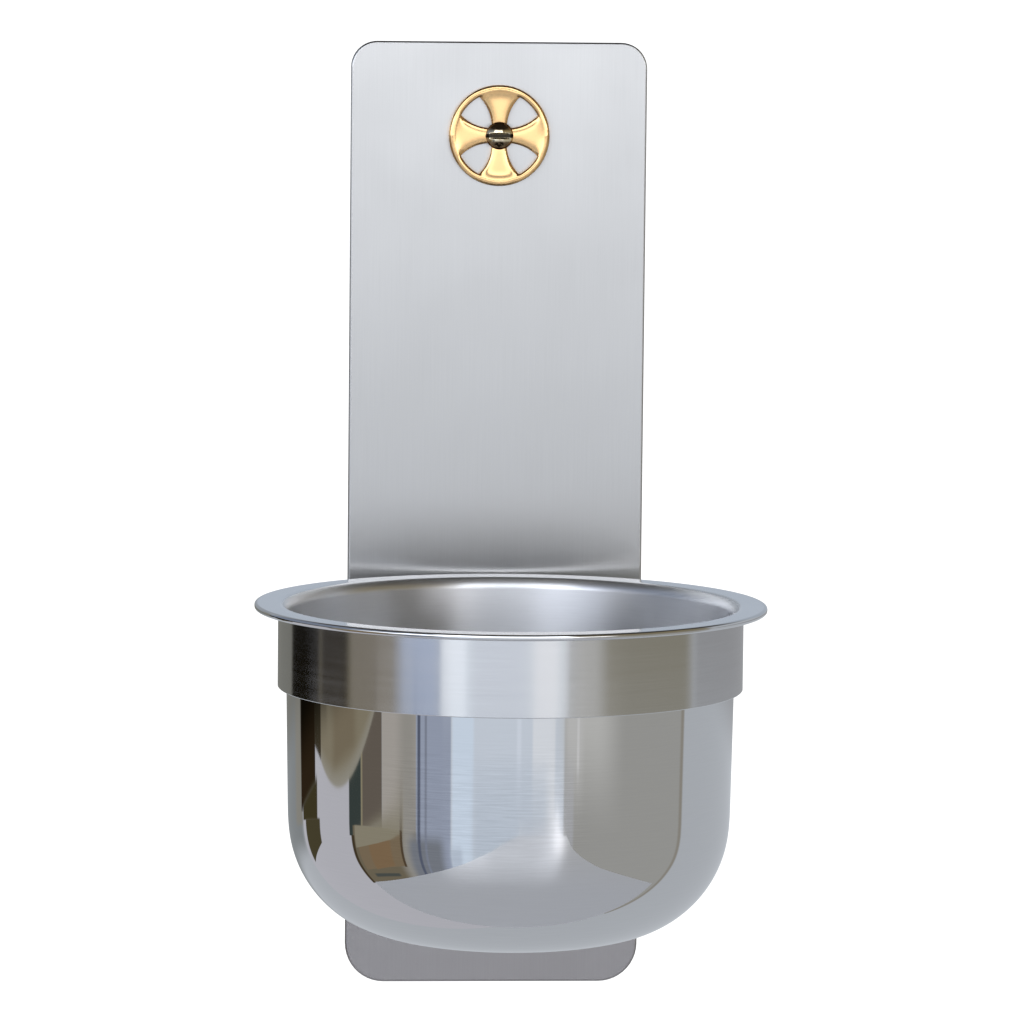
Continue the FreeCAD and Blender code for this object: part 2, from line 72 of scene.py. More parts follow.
# The bowl's section: sheet, round neck under the rim and its softer shoulder inside, wall,
# corner, crown and folded edge.
BOWL_DEPTH = RIM_HIGH.z - RIM_LOW.z
BOWL_RIM = RIM_HIGH.x
SHEET, NECK, WALL_RADIUS, LEAN = 0.0009, 0.0012, 0.0668, math.radians(1.0)
SHOULDER = 0.0035
CORNER, CROWN = 0.035, 0.225
BEAD, BEAD_HEIGHT, BEAD_ROUND = 0.0022, 0.0018, 0.0007
BOWL_SEGMENTS = 256

# How finely the section is drawn, over how many steps its bend is evened out, and the turn
# and the distance after which it gets its next corner.
SECTION_STEP, SECTION_EASE = 0.00025, 24
SECTION_TURN, SECTION_REACH = 0.015, 0.008

# A radius below this is a point on the axis.
ON_AXIS = 1e-6

# The bowl's shadow painted on the front of the plate's lower end: the heights where that starts
# and is full, the depths where it ends on the plate's edge, and its share of the plate's colour.
BOWL_SHADOW_HEIGHTS, BOWL_SHADOW_DEPTHS, BOWL_SHADOW_SHARE = (-0.085, -0.124), (-0.0005, -0.0025), (0.71, 0.68, 0.69)

# Brushed lines: how much further plate, ring and bowl blur across them than along them, and
# how deep they are in the plate and the ring.
PLATE_GRAIN, BAND_GRAIN, BOWL_GRAIN = 0.93, 0.3, 0.7
PLATE_LINES, BAND_LINES = 0.000004, 0.000001

# The broad streaks among the lines: their scale along and across, next to the fine lines'.
STREAK_ALONG, STREAK_ACROSS = 0.4, 0.12

# Where the bowl's brushing shows most: ramps along its curve, and at its top and foot.
BRUSHED_LEFT, BRUSHED_RIGHT = (-0.05, -0.03), (0.022, 0.008)
BRUSHED_TOP = (RIM_LEVEL - 0.03, RIM_LEVEL - 0.045)
BRUSHED_FOOT = (RIM_LEVEL - 0.078, RIM_LEVEL - 0.06)

# How far the bowl's surface must face up to count as its flat rim, and how far towards its
# axis to count as its inside.
FLAT, INWARD = (0.8, 0.98), (0.0001, -0.0001)

# The hidden steel's roughness.
STANDOFF_ROUGHNESS, RING_SCREW_ROUGHNESS = 0.3, 0.28

# The emblem screw: head, its upright edge and dome, slot with worn shoulders, and shank.
HEAD_RADIUS, HEAD_RISE, HEAD_SIDE = 0.00425, 0.003, 0.0007
SLOT_HALF, SLOT_SHOULDER, SLOT_DEPTH = 0.00055, 0.0005, 0.0012
SHANK_RADIUS, SHANK_BEVEL = 0.002, 0.0005
HEAD_RINGS, HEAD_SEGMENTS, HEAD_CREASE = 56, 192, math.radians(50)

# Its colours, by distance from the slot's middle: painted shade in the slot, a painted highlight
# beside it and a painted dark reflection beyond, the two shades as shares of the screw's colour.
SLOT_SHADE_ENDS, SLOT_SHADE_SHARE = (SLOT_HALF * 0.9, SLOT_HALF * 1.3), 0.03
DOME_SHADE_ENDS, DOME_SHADE_SHARE = (0.0013, 0.0021), (0.22, 0.18, 0.15)


# Node helpers -----------------------------------------------------------------------------

class Nodes:
    """Short ways to add and link the nodes of one tree."""

    def __init__(self, tree):
        self.tree = tree
        tree.nodes.clear()

    def add(self, kind, values=None, **settings):
        node = self.tree.nodes.new(kind)
        for name, value in settings.items():
            setattr(node, name, value)
        for key, value in (values or {}).items():
            self.put(node.inputs[key], value)
        return node

    def put(self, socket, value):
        """A link when the value is a socket, otherwise a plain value."""
        if isinstance(value, bpy.types.NodeSocket):
            self.tree.links.new(value, socket)
        else:
            socket.default_value = value

    def math(self, operation, *values):
        node = self.add("ShaderNodeMath", operation=operation)
        for socket, value in zip(node.inputs, values):
            self.put(socket, value)
        return node.outputs[0]

    def vector(self, operation, *values):
        node = self.add("ShaderNodeVectorMath", operation=operation)
        for socket, value in zip(node.inputs, values):
            self.put(socket, value)
        return node.outputs[0]

    def position(self):
        return self.add("ShaderNodeTexCoord").outputs["Object"]

    def split(self, vector):
        return self.add("ShaderNodeSeparateXYZ", {0: vector}).outputs

    def join(self, x=0.0, y=0.0, z=0.0):
        return self.add("ShaderNodeCombineXYZ", {0: x, 1: y, 2: z}).outputs[0]

    def mix(self, factor, first, second):
        node = self.add("ShaderNodeMix", data_type="RGBA")
        self.put(node.inputs["Factor"], factor)
        self.put(node.inputs[6], first)
        self.put(node.inputs[7], second)
        return node.outputs[2]

    def blend(self, factor, first, second):
        node = self.add("ShaderNodeMix", data_type="FLOAT")
        for index, value in ((0, factor), (2, first), (3, second)):
            self.put(node.inputs[index], value)
        return node.outputs[0]

    def range(self, value, low, high, to_low=0.0, to_high=1.0, smooth=True):
        node = self.add("ShaderNodeMapRange",
                        interpolation_type="SMOOTHSTEP" if smooth else "LINEAR")
        for socket, item in zip(node.inputs, (value, low, high, to_low, to_high)):
            self.put(socket, item)
        return node.outputs[0]

    def noise(self, vector, detail=2.0, roughness=0.5):
        return self.add("ShaderNodeTexNoise", {"Vector": vector, "Scale": 1.0, "Detail": detail,
                                               "Roughness": roughness}).outputs[0]

    def group(self, make, **values):
        """A shared effect with its own values, whose group is made on its first use only."""
        name = make.__name__.removeprefix("make_")
        tree = bpy.data.node_groups.get(name) or make(name)
        node = self.add("ShaderNodeGroup", node_tree=tree)
        for key, value in values.items():
            self.put(node.inputs[key.replace("_", " ").title()], value)
        return node.outputs


def new_group(name, inputs, outputs):
    """An empty shader group with named numbers: {name: default} in, (name, ...) out."""
    tree = bpy.data.node_groups.new(name, "ShaderNodeTree")
    nodes = Nodes(tree)
    for label, default in inputs.items():
        socket = tree.interface.new_socket(label, in_out="INPUT", socket_type="NodeSocketFloat")
        socket.default_value = default
    for label in outputs:
        tree.interface.new_socket(label, in_out="OUTPUT", socket_type="NodeSocketFloat")
    return tree, nodes, nodes.add("NodeGroupInput").outputs, nodes.add("NodeGroupOutput").inputs


# Shared effects ---------------------------------------------------------------------------

def make_round_coordinates(name):
    """Position round an upright axis: length along the curve, and height."""
    tree, nodes, given, result = new_group(name, {"Axis Y": 0.0}, ("Along", "Height"))
    x, y, z = nodes.split(nodes.position())
    y = nodes.math("SUBTRACT", y, given["Axis Y"])
    radius = nodes.math("SQRT", nodes.math("ADD", nodes.math("MULTIPLY", x, x),
                                           nodes.math("MULTIPLY", y, y)))
    angle = nodes.math("ARCTAN2", x, nodes.math("MULTIPLY", y, -1.0))
    nodes.put(result["Along"], nodes.math("MULTIPLY", angle, radius))
    nodes.put(result["Height"], z)
    return tree


def make_brushed_grain(name):
    """Brushed lines, long in one direction and fine across it, and broad streaks among them."""
    tree, nodes, given, result = new_group(
        name, {"Along": 0.0, "Across": 0.0, "Line Length": 0.02, "Line Width": 0.0003},
        ("Fine", "Broad"))
    along = nodes.math("DIVIDE", given["Along"], given["Line Length"])
    across = nodes.math("DIVIDE", given["Across"], given["Line Width"])
    streaks = nodes.join(nodes.math("MULTIPLY", along, STREAK_ALONG),
                         nodes.math("MULTIPLY", across, STREAK_ACROSS))
    nodes.put(result["Fine"], nodes.noise(nodes.join(along, across), detail=3.0, roughness=0.6))
    nodes.put(result["Broad"], nodes.noise(streaks))
    return tree


def make_blotch(name):
    """Slow, cloudy variation of a handled metal surface, from 0 to 1."""
    tree, nodes, given, result = new_group(name, {"Size": 0.02}, ("Value",))
    place = nodes.vector("DIVIDE", nodes.position(),
                         nodes.join(given["Size"], given["Size"], given["Size"]))
    nodes.put(result["Value"], nodes.range(nodes.noise(place, detail=3.0), 0.3, 0.7))
    return tree


def metal(name, colour, roughness, anisotropy=0.0):
    """A metal with a Principled shader. Returns the material, its nodes and the shader."""
    material = bpy.data.materials.new(name)
    material.use_nodes = True
    nodes = Nodes(material.node_tree)
    shader = nodes.add("ShaderNodeBsdfPrincipled", {
        "Base Color": (*colour, 1.0), "Metallic": 1.0, "Roughness": roughness,
        "Anisotropic": anisotropy})
    output = nodes.add("ShaderNodeOutputMaterial")
    nodes.put(output.inputs["Surface"], shader.outputs[0])
    return material, nodes, shader


def scaled(colour, share):
    """A colour times one share, or times one for each of its channels."""
    shares = share if isinstance(share, tuple) else (share,) * len(colour)
    return tuple(c * part for c, part in zip(colour, shares))


def vary(nodes, value, centre, spread):
    """centre - spread to centre + spread as the value goes from 0 to 1."""
    return nodes.range(value, 0.0, 1.0, centre - spread, centre + spread, smooth=False)


def shade(nodes, value, colour, spread):
    """A colour that gets darker and lighter by a share as the value goes from 0 to 1."""
    low = scaled(colour, 1 - spread)
    high = tuple(min(1.0, c) for c in scaled(colour, 1 + spread))
    return nodes.mix(value, (*low, 1.0), (*high, 1.0))


def clouded_metal(name, colour, roughness, size, tint, blur):
    """A plain metal whose colour and roughness drift in slow clouds, by two shares."""
    material, nodes, shader = metal(name, colour, roughness)
    blotch = nodes.group(make_blotch, size=size)[0]
    nodes.put(shader.inputs["Base Color"], shade(nodes, blotch, colour, tint))
    nodes.put(shader.inputs["Roughness"], vary(nodes, blotch, roughness, blur))
    return material


def dress(node, material):
    """Gives a carried-over node its finish."""
    mesh = NODES[node].data
    mesh.materials.clear()
    mesh.materials.append(material)


def new_piece(name, verts, faces, normals=None):
    """An object of its own mesh code, smooth, with given normals if there are any."""
    mesh = bpy.data.meshes.new(name)
    mesh.from_pydata(verts, [], faces)
    mesh.shade_smooth()
    if normals:
        mesh.normals_split_custom_set_from_vertices(normals)
    piece = bpy.data.objects.new(name, mesh)
    bpy.context.scene.collection.objects.link(piece)
    return piece


def stand_in(piece, body, node, material):
    """Lets a piece ride with a body in place of a carried-over node, in the same finish."""
    dress(node, material)
    piece.data.materials.clear()
    piece.data.materials.append(material)
    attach(piece, body)
    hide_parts(node)


def soften(node, name, cell, rounds, front):
    """A copy of a node whose face flows together like a polished casting.

    Only what stands in front of a level is smoothed, and only in depth, so that the
    outline and the back stay as they are.
    """
    piece = bpy.data.objects.new(name, NODES[node].data.copy())
    bpy.context.scene.collection.objects.link(piece)
    fuse = piece.modifiers.new("fuse", "REMESH")
    fuse.mode, fuse.voxel_size, fuse.use_smooth_shade = "VOXEL", cell, True
    ready = piece.evaluated_get(bpy.context.evaluated_depsgraph_get())
    mesh = bpy.data.meshes.new_from_object(ready)
    piece.modifiers.clear()
    piece.data = mesh
    build = bmesh.new()
    build.from_mesh(mesh)
    bmesh.ops.smooth_vert(build, verts=build.verts, factor=0.5, use_axis_x=True,
                          use_axis_y=True, use_axis_z=True)
    ahead = [vert for vert in build.verts if vert.co.y < front]
    for _ in range(rounds):
        bmesh.ops.smooth_vert(build, verts=ahead, factor=0.5, use_axis_x=False,
                              use_axis_y=True, use_axis_z=False)
    build.to_mesh(mesh)
    build.free()
    return piece


def turned(name, section, axis_y, level, segments):
    """A mesh turned round an upright axis.

    The section is a list of (radius, height, normal outward, normal upward) that starts
    and ends on the axis.
    """
    verts, normals, rings = [], [], []
    for radius, height, out, up in section:
        count = segments if radius > ON_AXIS else 1
        rings.append([len(verts) + i % count for i in range(segments + 1)])
        for i in range(count):
            turn = 2 * math.pi * i / segments
            x, y = math.sin(turn), -math.cos(turn)
            verts.append((radius * x, axis_y + radius * y, level + height))
            normals.append((out * x, out * y, up))
    return new_piece(name, verts, skin_rings(rings), normals)


def skin_rings(rings):
    """Faces between neighbouring rings of corners; a ring of one repeated corner is a tip."""
    faces = []
    for below, above in zip(rings, rings[1:]):
        for i in range(len(below) - 1):
            loop = below[i], below[i + 1], above[i + 1], above[i]
            faces.append(tuple(dict.fromkeys(loop)))
    return faces


def along_line(start, end):
    count = max(1, round((end - start).length / SECTION_STEP))
    return [start.lerp(end, i / count) for i in range(count)]


def along_arc(centre, radius, start, end):
    """Points of an arc from one angle to another, without the last."""
    count = max(2, round(abs(end - start) * radius / SECTION_STEP))
    angles = (start + (end - start) * i / count for i in range(count))
    return [centre + radius * Vector((math.cos(a), math.sin(a))) for a in angles]


def eased(points):
    """Evens out the bend of a line, so that a straight stretch runs softly into an arc."""
    result = []
    for i in range(len(points)):
        reach = min(SECTION_EASE, i, len(points) - 1 - i)
        near = points[i - reach:i + reach + 1]
        result.append(sum(near, Vector((0.0, 0.0))) / len(near))
    return result


def bowl_section():
    """The bowl's section with its normals, from the axis outside to the axis inside."""
    outward = Vector((math.cos(LEAN), -math.sin(LEAN)))
    upward = Vector((math.sin(LEAN), math.cos(LEAN)))
    neck = Vector((WALL_RADIUS + NECK, -SHEET - NECK))
    crown = Vector((0.0, CROWN - BOWL_DEPTH))
    across = outward.dot(neck) - NECK - CORNER
    reach = math.sqrt((CROWN - CORNER) ** 2 - (across - outward.dot(crown)) ** 2)
    corner = outward * across + upward * (upward.dot(crown) - reach)
    downward = (corner - crown).normalized()
    foot = math.atan2(downward.y, downward.x)

    level = outward.dot(neck) - NECK - SHEET + SHOULDER * (1 - math.sin(LEAN))
    shoulder = Vector((level / math.cos(LEAN), -SHOULDER))

    def skin(inset, bend, radius):
        """Neck, wall, corner and crown, from the rim down to the axis."""
        wall = (along_line(bend - outward * radius, corner + outward * (CORNER - inset))
                + along_arc(corner, CORNER - inset, -LEAN, foot)
                + along_arc(crown, CROWN - inset, foot, -math.pi / 2)
                + [crown - Vector((0.0, CROWN - inset))])
        return along_arc(bend, radius, math.pi / 2, math.pi - LEAN) + eased(wall)

    edge, under = BOWL_RIM - BEAD_ROUND, -BEAD_HEIGHT
    hem = BOWL_RIM - BEAD
    points = list(reversed(skin(0.0, neck, NECK)))
    points += along_line(Vector((neck.x, -SHEET)), Vector((hem, -SHEET)))[1:]
    points += along_line(Vector((hem, -SHEET)), Vector((hem, under)))
    points += along_line(Vector((hem, under)), Vector((edge, under)))
    points += along_arc(Vector((edge, under + BEAD_ROUND)), BEAD_ROUND, -math.pi / 2, 0.0)
    points += along_line(Vector((BOWL_RIM, under + BEAD_ROUND)), Vector((BOWL_RIM, -BEAD_ROUND)))
    points += along_arc(Vector((edge, -BEAD_ROUND)), BEAD_ROUND, 0.0, math.pi / 2)
    points += along_line(Vector((edge, 0.0)), Vector((shoulder.x, 0.0)))
    points += skin(SHEET, shoulder, SHOULDER)
    section, last = [], None
    for i, point in enumerate(points):
        ends = points[max(i - 1, 0)], points[min(i + 1, len(points) - 1)]
        along = (ends[1] - ends[0]).normalized()
        normal = Vector((along.y, -along.x))
        if i in (0, len(points) - 1):
            normal = Vector((0.0, -1.0 if i == 0 else 1.0))
            point = Vector((0.0, point.y))
        elif (last and last[1].angle(normal) < SECTION_TURN
                and (point - last[0]).length < SECTION_REACH):
            continue
        section.append((point.x, point.y, normal.x, normal.y))
        last = point, normal
    return section


def head_height(x, z):
    """Height of the screw's domed and slotted head over its seat."""
    dome = HEAD_RISE - HEAD_SIDE
    ball = (HEAD_RADIUS ** 2 + dome ** 2) / (2 * dome)
    top = HEAD_RISE - ball + math.sqrt(max(ball ** 2 - x * x - z * z, 0.0))
    share = min(1.0, max(0.0, (abs(z) - SLOT_HALF) / SLOT_SHOULDER))
    floor = HEAD_RISE - SLOT_DEPTH
    return min(top, floor) + max(0.0, top - floor) * share * share * (3 - 2 * share)


def screw_mesh(name, seat, level, tip):
    """The emblem's screw: domed head in front of its seat, shank behind it."""
    verts, rings = [], []

    def ring(radius, height=None):
        count = HEAD_SEGMENTS if radius else 1
        rings.append([len(verts) + i % count for i in range(HEAD_SEGMENTS + 1)])
        for i in range(count):
            turn = 2 * math.pi * i / HEAD_SEGMENTS
            x, z = radius * math.cos(turn), radius * math.sin(turn)
            y = seat - (head_height(x, z) if height is None else height)
            verts.append((x, y, level + z))

    for i in range(HEAD_RINGS + 1):
        ring(HEAD_RADIUS * i / HEAD_RINGS)
    ring(HEAD_RADIUS, 0.0)
    ring(SHANK_RADIUS, 0.0)
    ring(SHANK_RADIUS, seat - tip + SHANK_BEVEL)
    ring(SHANK_RADIUS - SHANK_BEVEL, seat - tip)
    ring(0.0, seat - tip)
    piece = new_piece(name, verts, skin_rings(rings))
    piece.data.set_sharp_from_angle(angle=HEAD_CREASE)
    return piece


# Settings ---------------------------------------------------------------------------------

class STOUP_PG_metal(PropertyGroup):
    plate_colour: FloatVectorProperty(
        name="Plate", description="Colour of the satin back plate", subtype="COLOR",
        default=(0.49, 0.488, 0.482), min=0.0, max=1.0)
    plate_roughness: FloatProperty(
        name="Plate Roughness", description="How far the plate blurs what it reflects",
        default=0.316, min=0.0, max=1.0, subtype="FACTOR")
    band_colour: FloatVectorProperty(
        name="Ring", description="Colour of the brushed ring", subtype="COLOR",
        default=(0.64, 0.64, 0.64), min=0.0, max=1.0)
    band_roughness: FloatProperty(
        name="Ring Roughness", description="How far the ring blurs what it reflects",
        default=0.12, min=0.0, max=1.0, subtype="FACTOR")
    bowl_colour: FloatVectorProperty(
        name="Bowl", description="Colour of the polished bowl", subtype="COLOR",
        default=(0.66, 0.66, 0.665), min=0.0, max=1.0)
    bowl_roughness: FloatProperty(
        name="Bowl Roughness", description="How far the bowl's outside blurs what it reflects",
        default=0.012, min=0.0, max=1.0, subtype="FACTOR")
    brushed_roughness: FloatProperty(
        name="Brushed Roughness", description="How far the brushed part of the outside blurs",
        default=0.045, min=0.0, max=1.0, subtype="FACTOR")
    # Lighter than the outside's steel: partly the satin inside's colour, partly painted light for
    # its brightly lit look.
    inside_colour: FloatVectorProperty(
        name="Bowl Inside", description="Colour of the bowl's satin inside", subtype="COLOR",
        default=(0.82, 0.825, 0.84), min=0.0, max=1.0)
    inside_roughness: FloatProperty(
        name="Inside Roughness", description="How far the bowl's inside blurs what it reflects",
        default=0.36, min=0.0, max=1.0, subtype="FACTOR")
    rim_roughness: FloatProperty(
        name="Rim Roughness", description="How far the bowl's flat rim blurs what it reflects",
        default=0.14, min=0.0, max=1.0, subtype="FACTOR")
    brass_colour: FloatVectorProperty(
        name="Emblem", description="Colour of the polished brass emblem", subtype="COLOR",
        default=(0.80, 0.51, 0.235), min=0.0, max=1.0)
    brass_roughness: FloatProperty(
        name="Emblem Roughness", description="How far the emblem blurs what it reflects",
        default=0.16, min=0.0, max=1.0, subtype="FACTOR")
    # The screw's own colour; its dark look is painted shade in its slot and beyond a painted
    # highlight.
    screw_colour: FloatVectorProperty(
        name="Emblem Screw", description="Colour of the emblem's darkened screw", subtype="COLOR",
        default=(0.92, 0.78, 0.56), min=0.0, max=1.0)
    screw_roughness: FloatProperty(
        name="Emblem Screw Roughness", description="How far the emblem's screw blurs",
        default=0.12, min=0.0, max=1.0, subtype="FACTOR")
    steel_colour: FloatVectorProperty(
        name="Hidden Steel", description="Colour of the stand-off and the ring screws",
        subtype="COLOR", default=(0.6, 0.6, 0.61), min=0.0, max=1.0)


class STOUP_PG_studio(PropertyGroup):
    backdrop: FloatProperty(
        name="Backdrop", description="Brightness of the white backdrop seen by the camera",
        default=1.2, min=0.0, max=5.0)
    floor_level: FloatProperty(
        name="Floor Level", description="Height of the floor in the stoup's own frame",
        default=-0.36, unit="LENGTH")
    floor_light: FloatProperty(
        name="Floor Light", description="How bright the floor is lit from overhead",
        default=0.29, min=0.0, max=5.0)
    light: FloatProperty(
        name="Light", description="Strength of the whole studio's light",
        default=1.0, min=0.0, max=10.0)


# Pieces -----------------------------------------------------------------------------------

class STOUP_OT_back_plate(Operator):
    """Satin steel with a fine upright grain"""
    bl_idname = "stoup.back_plate"
    bl_label = "Back Plate"

    def execute(self, context):
        look = context.scene.stoup_metal
        colour = tuple(look.plate_colour)
        material, nodes, shader = metal("satin_plate", colour, look.plate_roughness, PLATE_GRAIN)
        x, y, z = nodes.split(nodes.position())
        fine = nodes.group(make_brushed_grain, along=z, across=x, line_length=0.03,
                           line_width=0.00035)["Fine"]
        blotch = nodes.group(make_blotch, size=0.03)[0]
        # Painted shadow of the bowl: the front of the plate's lower end is darkened in its base
        # colour.
        bowl_shadow = nodes.math("MULTIPLY", nodes.range(z, *BOWL_SHADOW_HEIGHTS), nodes.range(y, *BOWL_SHADOW_DEPTHS))
        nodes.put(shader.inputs["Base Color"],
                  nodes.mix(bowl_shadow, shade(nodes, fine, colour, 0.05),
                            shade(nodes, fine, scaled(colour, BOWL_SHADOW_SHARE), 0.05)))
        nodes.put(shader.inputs["Roughness"], vary(nodes, blotch, look.plate_roughness, 0.02))
        bump = nodes.add("ShaderNodeBump",
                         {"Height": fine, "Distance": PLATE_LINES, "Strength": 1.0})
        nodes.put(shader.inputs["Normal"], bump.outputs[0])
        nodes.put(shader.inputs["Tangent"], nodes.join(x=1.0))
        dress("back_plate", material)
        return {"FINISHED"}


class STOUP_OT_ring(Operator):
    """Steel band brushed round its outside, on a plain turned stand-off"""
    bl_idname = "stoup.ring"
    bl_label = "Ring and Stand-off"

    def execute(self, context):
        look = context.scene.stoup_metal
        colour = tuple(look.band_colour)
        material, nodes, shader = metal("brushed_band", colour, look.band_roughness, BAND_GRAIN)
        along, height = nodes.group(make_round_coordinates, axis_y=BOWL_AXIS_Y)
        fine, broad = nodes.group(make_brushed_grain, along=along, across=height,
                                  line_length=0.025, line_width=0.0003)
        nodes.put(shader.inputs["Base Color"], shade(nodes, fine, colour, 0.06))
        nodes.put(shader.inputs["Roughness"], vary(nodes, broad, look.band_roughness, 0.03))
        bump = nodes.add("ShaderNodeBump",
                         {"Height": fine, "Distance": BAND_LINES, "Strength": 1.0})
        nodes.put(shader.inputs["Normal"], bump.outputs[0])
        nodes.put(shader.inputs["Tangent"], nodes.join(z=1.0))
        dress("bowl_ring", material)
        dress("ring_standoff", clouded_metal("turned_steel", tuple(look.steel_colour),
                                             STANDOFF_ROUGHNESS, size=0.004, tint=0.06, blur=0.05))
        return {"FINISHED"}


class STOUP_OT_ring_screws(Operator):
    """Plain machined steel screws"""
    bl_idname = "stoup.ring_screws"
    bl_label = "Ring Screws"

    def execute(self, context):
        steel = tuple(context.scene.stoup_metal.steel_colour)
        material = clouded_metal("screw_steel", steel, RING_SCREW_ROUGHNESS, size=0.002,
                                 tint=0.08, blur=0.06)
        for node in ("ring_screw_upper", "ring_screw_lower"):
            dress(node, material)
        return {"FINISHED"}


class STOUP_OT_bowl(Operator):
    """Polished outside with a trace of brushing, satin inside"""
    bl_idname = "stoup.bowl"
    bl_label = "Bowl"

    def execute(self, context):
        look = context.scene.stoup_metal
        colour = tuple(look.bowl_colour)
        material, nodes, shader = metal("polished_bowl", colour, look.bowl_roughness, BOWL_GRAIN)
        along, height = nodes.group(make_round_coordinates, axis_y=BOWL_AXIS_Y)
        fine = nodes.group(make_brushed_grain, along=along, across=height, line_length=0.012,
                           line_width=0.0005)["Fine"]
        normal = nodes.add("ShaderNodeNewGeometry").outputs["Normal"]
        outward = nodes.vector("SUBTRACT", nodes.position(), (0.0, BOWL_AXIS_Y, RIM_LEVEL))
        facing = nodes.add("ShaderNodeVectorMath", {0: normal, 1: outward},
                           operation="DOT_PRODUCT").outputs["Value"]
        inside = nodes.range(facing, *INWARD, smooth=False)
        brushed = nodes.math("MULTIPLY", nodes.range(along, *BRUSHED_LEFT),
                             nodes.range(along, *BRUSHED_RIGHT))
        for ramp in (BRUSHED_TOP, BRUSHED_FOOT):
            brushed = nodes.math("MULTIPLY", brushed, nodes.range(height, *ramp))
        outside = nodes.range(brushed, 0.0, 1.0, look.bowl_roughness, look.brushed_roughness)
        flat = nodes.range(nodes.split(normal)[2], *FLAT)
        satin = nodes.range(flat, 0.0, 1.0, look.inside_roughness, look.rim_roughness)
        nodes.put(shader.inputs["Roughness"], nodes.blend(inside, outside, satin))
        x, y, _ = nodes.split(outward)
        around = nodes.join(nodes.math("MULTIPLY", y, -1.0), x)
        nodes.put(shader.inputs["Tangent"], nodes.vector("CROSS_PRODUCT", around, normal))
        lines = nodes.mix(brushed, shade(nodes, fine, colour, 0.03),
                          shade(nodes, fine, colour, 0.22))
        # The inside's lighter colour is partly painted light, for its brightly lit look.
        nodes.put(shader.inputs["Base Color"],
                  nodes.mix(inside, lines, shade(nodes, fine, tuple(look.inside_colour), 0.05)))
        shell = turned("bowl_shell", bowl_section(), BOWL_AXIS_Y, RIM_LEVEL, BOWL_SEGMENTS)
        stand_in(shell, "bowl", "bowl", material)
        return {"FINISHED"}


class STOUP_OT_emblem(Operator):
    """Polished brass cross in its rounded ring"""
    bl_idname = "stoup.emblem"
    bl_label = "Emblem"

    def execute(self, context):
        look = context.scene.stoup_metal
        material = clouded_metal("polished_brass", tuple(look.brass_colour), look.brass_roughness,
                                 size=0.004, tint=0.04, blur=0.04)
        casting = soften("emblem", "emblem_casting", CASTING_CELL, CASTING_FLOW,
                         EMBLEM_HIGH.y - CASTING_BACK)
        stand_in(casting, "bracket", "emblem", material)
        return {"FINISHED"}


class STOUP_OT_emblem_screw(Operator):
    """Darkened brass screw"""
    # Brass screw with a painted highlight beside its slot and painted shade in the slot and beyond
    bl_idname = "stoup.emblem_screw"
    bl_label = "Emblem Screw"

    def execute(self, context):
        look = context.scene.stoup_metal
        colour = tuple(look.screw_colour)
        material, nodes, shader = metal("dark_brass", colour, look.screw_roughness)
        blotch = nodes.group(make_blotch, size=0.0015)[0]
        _, _, z = nodes.split(nodes.position())
        # Painted shade in the slot, a painted highlight beside it, and a painted dark reflection
        # further out.
        slot = nodes.math("ABSOLUTE", nodes.math("SUBTRACT", z, EMBLEM_LEVEL))
        past_slot_shade = nodes.range(slot, *SLOT_SHADE_ENDS)
        slot_shade = (*scaled(colour, SLOT_SHADE_SHARE), 1.0)
        top = nodes.mix(nodes.range(slot, *DOME_SHADE_ENDS), shade(nodes, blotch, colour, 0.15),
                        shade(nodes, blotch, scaled(colour, DOME_SHADE_SHARE), 0.3))
        nodes.put(shader.inputs["Base Color"], nodes.mix(past_slot_shade, slot_shade, top))
        nodes.put(shader.inputs["Roughness"], vary(nodes, blotch, look.screw_roughness, 0.04))
        low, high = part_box("emblem_screw")
        head = screw_mesh("emblem_screw_head", low.y + HEAD_RISE, EMBLEM_LEVEL, high.y)
        stand_in(head, "bracket", "emblem_screw", material)
        return {"FINISHED"}


# Studio -----------------------------------------------------------------------------------

CAMERA_PLACE = (-0.1156, -1.8382, 0.1946)
CAMERA_YAW, CAMERA_PITCH, CAMERA_ROLL = (math.radians(a) for a in (3.765, -6.005, 0.579))
CAMERA_LENS, CAMERA_SENSOR, CAMERA_REACH = 210.34, 36.0, 50.0

